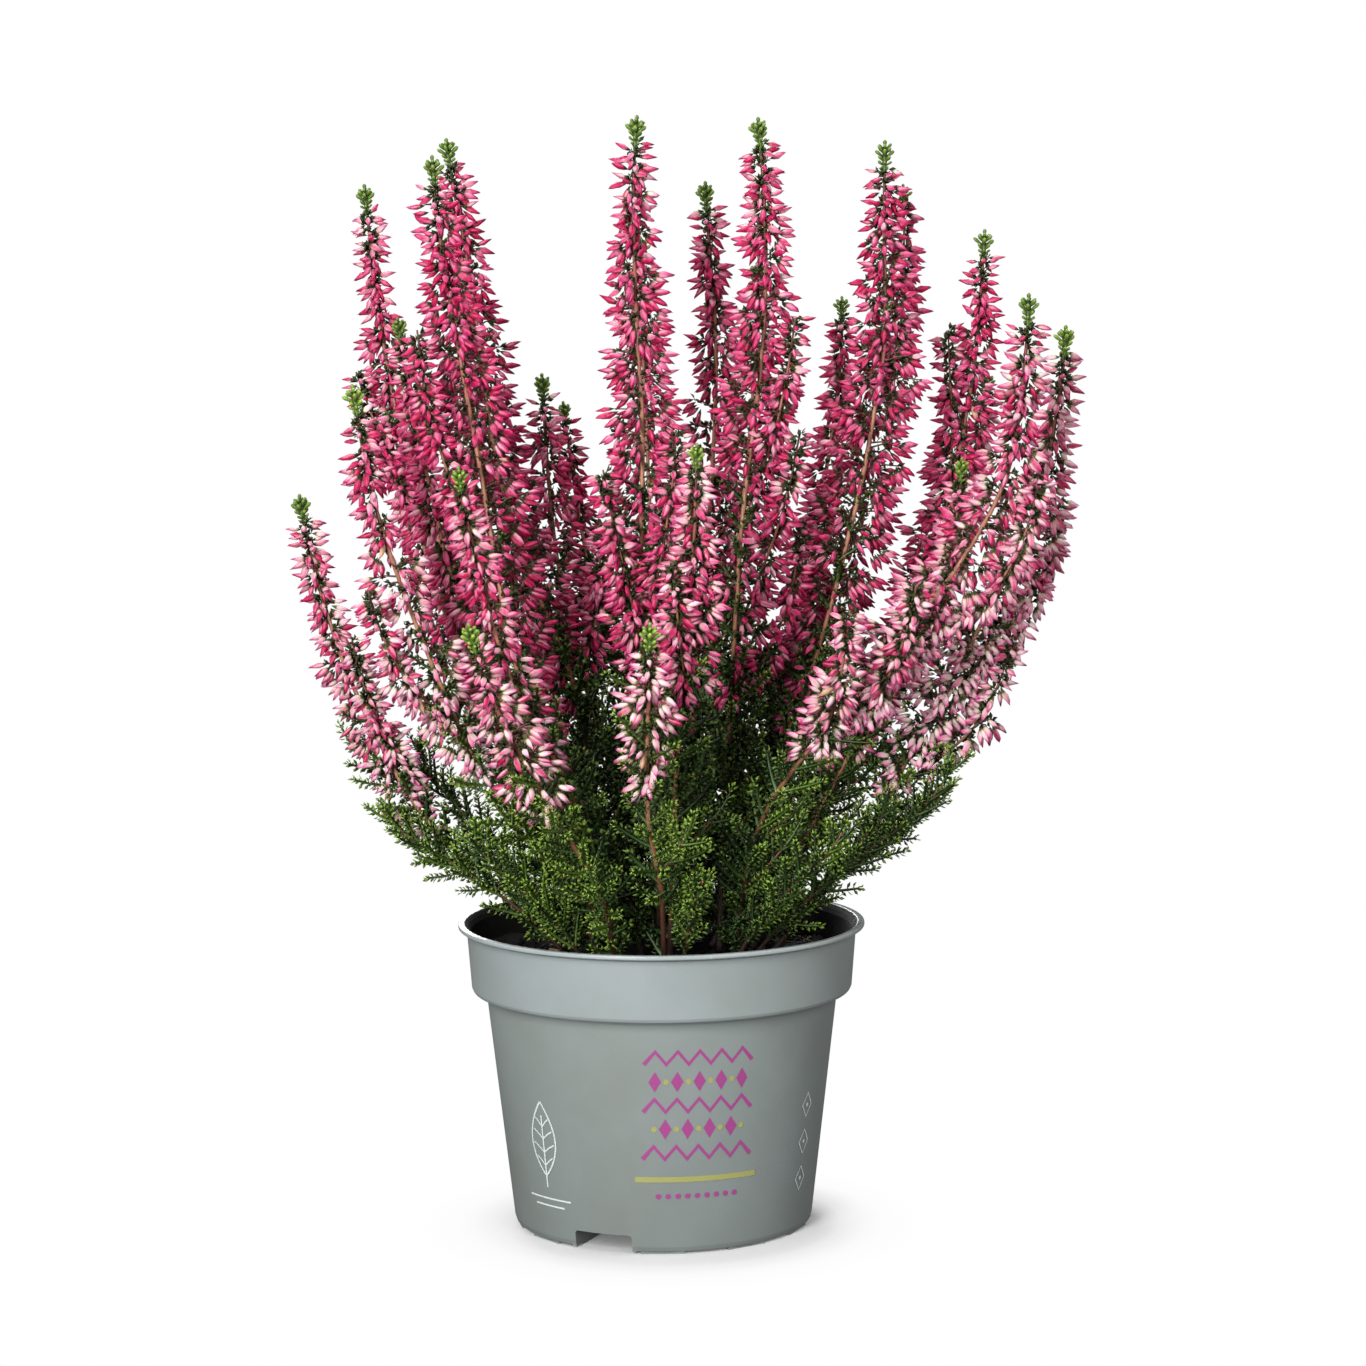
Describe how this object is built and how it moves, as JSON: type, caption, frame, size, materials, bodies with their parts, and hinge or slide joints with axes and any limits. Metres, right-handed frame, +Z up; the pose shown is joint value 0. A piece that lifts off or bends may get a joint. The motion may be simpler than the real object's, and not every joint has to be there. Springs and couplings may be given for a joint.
{
  "type": "potted heather",
  "caption": "Bushy heather with upright spikes of pink buds above dark green needle-like foliage, growing in a round grey-green plastic nursery pot.",
  "frame": {"origin": "on the pot's axis, on the surface that the pot stands on", "axes": "+Z up along the pot's axis; -Y is the front, from which the picture was taken; +X to the right"},
  "size_m": [0.2286, 0.1829, 0.3242],
  "materials": {
    "pot_plastic": "grey-green moulded plastic with a soft sheen",
    "peat_soil": "dark crumbly peat",
    "woody_stem": "thin reddish-brown bark",
    "heather_flower": "satiny magenta-pink buds",
    "pale_heather_flower": "satiny pale pink buds",
    "heather_leaf": "dull green scale leaves"
  },
  "bodies": {
    "root": {"pot": "pot_plastic", "soil": "peat_soil", "stem_01": "woody_stem", "flowers_01": "heather_flower", "stem_02": "woody_stem", "flowers_02": "heather_flower", "stem_03": "woody_stem", "flowers_03": "heather_flower", "stem_04": "woody_stem", "flowers_04": "heather_flower", "stem_05": "woody_stem", "flowers_05": "heather_flower", "stem_06": "woody_stem", "flowers_06": "pale_heather_flower", "stem_07": "woody_stem", "flowers_07": "heather_flower", "stem_08": "woody_stem", "flowers_08": "heather_flower", "stem_09": "woody_stem", "flowers_09": "heather_flower", "stem_10": "woody_stem", "flowers_10": "heather_flower", "stem_11": "woody_stem", "flowers_11": "heather_flower", "stem_12": "woody_stem", "flowers_12": "heather_flower", "stem_13": "woody_stem", "flowers_13": "heather_flower", "stem_14": "woody_stem", "flowers_14": "heather_flower", "stem_15": "woody_stem", "flowers_15": "pale_heather_flower", "stem_16": "woody_stem", "flowers_16": "heather_flower", "stem_17": "woody_stem", "flowers_17": "heather_flower", "stem_18": "woody_stem", "flowers_18": "heather_flower", "stem_19": "woody_stem", "flowers_19": "heather_flower", "short_spike_20": "heather_flower", "short_spike_21": "pale_heather_flower", "short_spike_22": "heather_flower", "short_spike_23": "heather_flower", "short_spike_24": "pale_heather_flower", "short_spike_25": "heather_flower", "short_spike_26": "heather_flower", "short_spike_27": "heather_flower", "leafy_shoot_01": "heather_leaf", "leafy_shoot_02": "heather_leaf", "leafy_shoot_03": "heather_leaf", "leafy_shoot_04": "heather_leaf", "leafy_shoot_05": "heather_leaf", "leafy_shoot_06": "heather_leaf", "leafy_shoot_07": "heather_leaf", "leafy_shoot_08": "heather_leaf", "leafy_shoot_09": "heather_leaf", "leafy_shoot_10": "heather_leaf", "leafy_shoot_11": "heather_leaf"}
  },
  "joints": []
}
